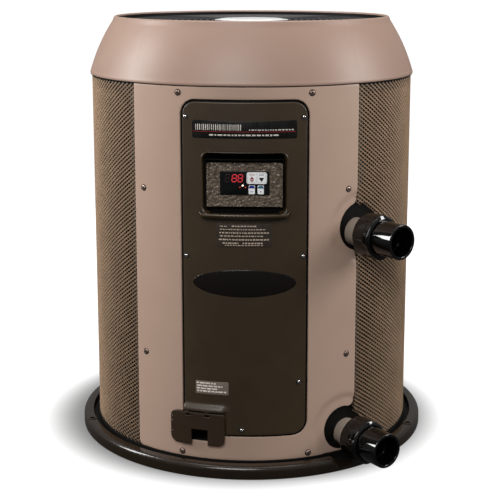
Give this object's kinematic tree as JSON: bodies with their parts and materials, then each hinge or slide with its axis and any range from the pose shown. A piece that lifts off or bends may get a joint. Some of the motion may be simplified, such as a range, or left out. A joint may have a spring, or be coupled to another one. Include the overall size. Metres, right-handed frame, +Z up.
{
  "type": "pool heater",
  "caption": "Round vertical-discharge pool heat pump with mesh guard, front service door, top fan grille and side water unions.",
  "frame": {"origin": "on the ground under the middle of the round base pan", "axes": "+Z up, front with the service door towards -Y, +X to the right seen from the front"},
  "size_m": [0.796, 0.8074, 0.9456],
  "materials": {
    "taupe_paint": "satin taupe powder coat",
    "taupe_plastic": "satin moulded taupe plastic",
    "guard_mesh": "satin brown extruded netting",
    "bronze_door": "fine-grained dark bronze plastic",
    "pan_plastic": "glossy dark brown plastic",
    "black_gloss": "glossy black PVC",
    "grille_black": "glossy black",
    "shroud_black": "matte black",
    "grey_pvc": "satin grey-taupe PVC",
    "bright_plate": "bright brushed",
    "galvanised": "galvanised sheet",
    "screw_steel": "bright stainless",
    "motor_black": "black enamel",
    "fan_grey": "dark grey moulded",
    "hub_steel": "turned steel",
    "coil_aluminium": "finned, dull",
    "copper": "copper tube",
    "panel_grey": "hammered grey",
    "window_black": "glossy black membrane",
    "digit_red": "lit red",
    "digit_unlit": "unlit segments",
    "lamp_amber": "lit lamps",
    "key_white": "white key",
    "mark_red": "red print",
    "mark_black": "black print",
    "mark_blue": "blue print",
    "label_black": "black film",
    "label_red": "red line",
    "sticker_dark": "printed film",
    "badge_dark": "domed dark badge",
    "label_pale": "pale film",
    "compressor_paint": "black enamel",
    "rubber_black": "rubber",
    "wiring_plastic": "black moulding"
  },
  "bodies": {
    "heater": {"base_pan": "pan_plastic", "front_panel": "taupe_paint", "mesh_guard": "guard_mesh", "top_ring": "galvanised", "support_posts": "galvanised", "top_cap": "taupe_plastic", "fan_shroud": "shroud_black", "fan_guard": "grille_black", "fan_guard_plate": "bright_plate", "motor_mount": "galvanised", "fan_motor": "motor_black", "door_frame": "shroud_black", "access_door": "bronze_door", "control_hood": "bronze_door", "control_tub": "shroud_black", "control_panel": "panel_grey", "display_window": "window_black", "display_digits": "digit_red", "display_digit_unlit": "digit_unlit", "indicator_lamps": "lamp_amber", "key_block": "key_white", "label_band": "label_black", "label_stripe": "label_red", "instruction_sticker": "sticker_dark", "oval_badge": "badge_dark", "rating_label": "label_pale", "conduit_box": "galvanised", "electrical_box": "galvanised", "contactor": "wiring_plastic", "capacitor": "galvanised", "transformer": "motor_black", "terminal_block": "wiring_plastic", "evaporator_coil": "coil_aluminium", "coil_bends": "copper", "compressor": "compressor_paint", "compressor_feet": "rubber_black", "accumulator": "compressor_paint", "drier_and_valve": "copper", "copper_lines": "copper", "heat_exchanger": "grey_pvc", "water_port_upper": "grey_pvc", "water_port_lower": "grey_pvc", "tailpiece_upper": "black_gloss", "tailpiece_lower": "black_gloss", "union_seals": "rubber_black", "panel_screws": "screw_steel", "door_screws": "screw_steel"},
    "fan": {"fan_hub": "hub_steel", "fan_blades": "fan_grey"},
    "up_key": {"key_up": "key_white", "key_up_mark": "mark_red"},
    "down_key": {"key_down": "key_white", "key_down_mark": "mark_black"},
    "left_key": {"key_left": "key_white", "key_left_band": "mark_blue"},
    "right_key": {"key_right": "key_white", "key_right_band": "mark_blue"},
    "upper_nut": {"union_nut_upper": "black_gloss"},
    "lower_nut": {"union_nut_lower": "black_gloss"},
    "wiring_cover": {"conduit_cover": "bronze_door"}
  },
  "joints": [
    {"name": "fan_spin", "type": "hinge", "parent": "heater", "child": "fan", "pos_m": [0, 0, 0.888], "axis": [0, 0, 1], "continuous": true},
    {"name": "up_key_press", "type": "slide", "parent": "heater", "child": "up_key", "axis": [0, 1, 0], "range_m": [0, 0.0008], "stiffness_N_per_m": 500, "springref_m": -0.0008},
    {"name": "down_key_press", "type": "slide", "parent": "heater", "child": "down_key", "axis": [0, 1, 0], "range_m": [0, 0.0008], "stiffness_N_per_m": 500, "springref_m": -0.0008},
    {"name": "left_key_press", "type": "slide", "parent": "heater", "child": "left_key", "axis": [0, 1, 0], "range_m": [0, 0.0008], "stiffness_N_per_m": 500, "springref_m": -0.0008},
    {"name": "right_key_press", "type": "slide", "parent": "heater", "child": "right_key", "axis": [0, 1, 0], "range_m": [0, 0.0008], "stiffness_N_per_m": 500, "springref_m": -0.0008},
    {"name": "upper_nut_turn", "type": "hinge", "parent": "heater", "child": "upper_nut", "pos_m": [0.26964, -0.31019, 0.504], "axis": [0.6561, -0.7547, 0], "continuous": true},
    {"name": "lower_nut_turn", "type": "hinge", "parent": "heater", "child": "lower_nut", "pos_m": [0.2502, -0.32607, 0.064], "axis": [0.6088, -0.7934, 0], "continuous": true},
    {"name": "wiring_cover_swing", "type": "hinge", "parent": "heater", "child": "wiring_cover", "pos_m": [-0.10042, -0.35487, 0.133], "axis": [-0.9622, 0.2723, 0], "range_deg": [0, 75]}
  ]
}
